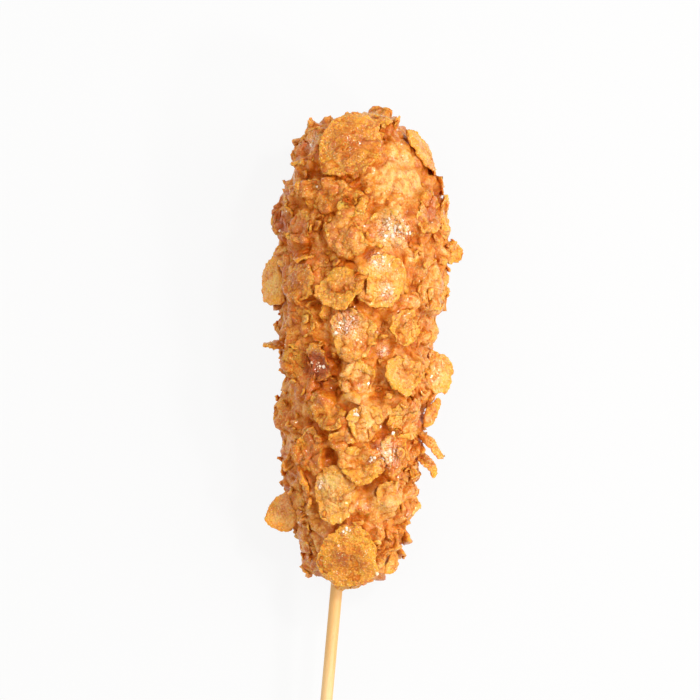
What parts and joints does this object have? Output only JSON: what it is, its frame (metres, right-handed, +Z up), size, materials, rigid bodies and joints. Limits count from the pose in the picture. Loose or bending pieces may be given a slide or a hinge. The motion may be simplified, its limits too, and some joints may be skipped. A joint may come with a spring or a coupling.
{
  "type": "corn dog",
  "caption": "Corn dog in a lumpy fried batter crust covered with corn flakes, on a round wooden stick, lying on its side.",
  "frame": {"origin": "on the table, under the middle of the whole corn dog's length and width", "axes": "+Z up from the table, out of the side shown; +Y along the food to its rounded head; the stick points to -Y; +X to the right of the shown side"},
  "size_m": [0.0682, 0.2542, 0.0567],
  "materials": {
    "batter": "crisp fried batter, golden orange with browned ridges, a thin sheen of oil",
    "flake": "fried corn flakes, golden yellow to amber and brown, blistered, dusted with sugar",
    "wood": "pale plain bamboo with a fine straight grain"
  },
  "bodies": {
    "root": {"batter": "batter", "flake_01": "flake", "flake_02": "flake", "flake_03": "flake", "flake_04": "flake", "flake_05": "flake", "flake_06": "flake", "flake_07": "flake", "flake_08": "flake", "flake_09": "flake", "flake_10": "flake", "flake_11": "flake", "flake_12": "flake", "flake_13": "flake", "flake_14": "flake", "flake_15": "flake", "flake_16": "flake", "flake_17": "flake", "flake_18": "flake", "flake_19": "flake", "flake_20": "flake", "flake_21": "flake", "flake_22": "flake", "flake_23": "flake", "flake_24": "flake", "flake_25": "flake", "flake_26": "flake", "flake_27": "flake", "flake_28": "flake", "flake_29": "flake", "flake_30": "flake", "flake_31": "flake", "flake_32": "flake", "flake_33": "flake", "flake_34": "flake", "flake_35": "flake", "flake_36": "flake", "flake_37": "flake", "flake_38": "flake", "flake_39": "flake", "flake_40": "flake", "flake_41": "flake", "flake_42": "flake", "flake_43": "flake", "flake_44": "flake", "flake_45": "flake", "flake_46": "flake", "flake_47": "flake", "flake_48": "flake", "flake_49": "flake", "flake_50": "flake", "flake_51": "flake", "flake_52": "flake", "flake_53": "flake", "flake_54": "flake", "flake_55": "flake", "flake_56": "flake", "flake_57": "flake", "flake_58": "flake", "stick": "wood"}
  },
  "joints": []
}
